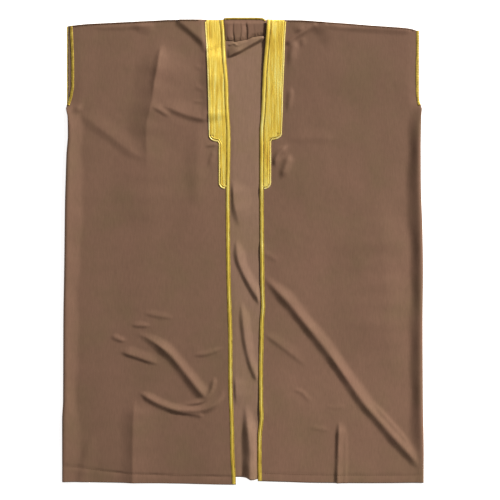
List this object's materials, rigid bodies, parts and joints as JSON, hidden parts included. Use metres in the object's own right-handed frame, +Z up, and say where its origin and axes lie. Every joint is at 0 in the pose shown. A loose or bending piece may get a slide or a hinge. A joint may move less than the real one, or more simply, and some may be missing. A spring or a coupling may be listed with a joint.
{
  "type": "bisht cloak",
  "caption": "Open-front long cloak of brown cloth with gold embroidered bands and braid, laid out flat with its fronts upward over the back",
  "frame": {"origin": "middle of the rectangle the laid-out cloak covers, on the surface it rests on", "axes": "+Y towards the neck, +X to the right as seen from above with the neck at the top, +Z up, away from the surface"},
  "size_m": [1.12, 1.448, 0.0167],
  "materials": {
    "front_cloth": "fine brown worsted with a soft sheen",
    "inner_cloth": "inner face of the same cloth, a little lighter",
    "yoke_cloth": "same cloth, gathered",
    "gold_embroidery": "close couched metallic gold thread",
    "gold_cord": "bright twisted metallic gold cord",
    "gold_braid": "dull plaited metallic gold thread"
  },
  "bodies": {
    "root": {"back_panel": "inner_cloth", "neck_yoke": "yoke_cloth", "front_left": "front_cloth", "front_right": "front_cloth", "band_left": "gold_embroidery", "band_right": "gold_embroidery", "band_cord_left": "gold_cord", "band_cord_right": "gold_cord", "edge_braid_left": "gold_braid", "edge_braid_right": "gold_braid", "armhole_braid_left": "gold_braid", "armhole_braid_right": "gold_braid", "armhole_cord_left": "gold_cord", "armhole_cord_right": "gold_cord", "neck_braid": "gold_braid"}
  },
  "joints": []
}
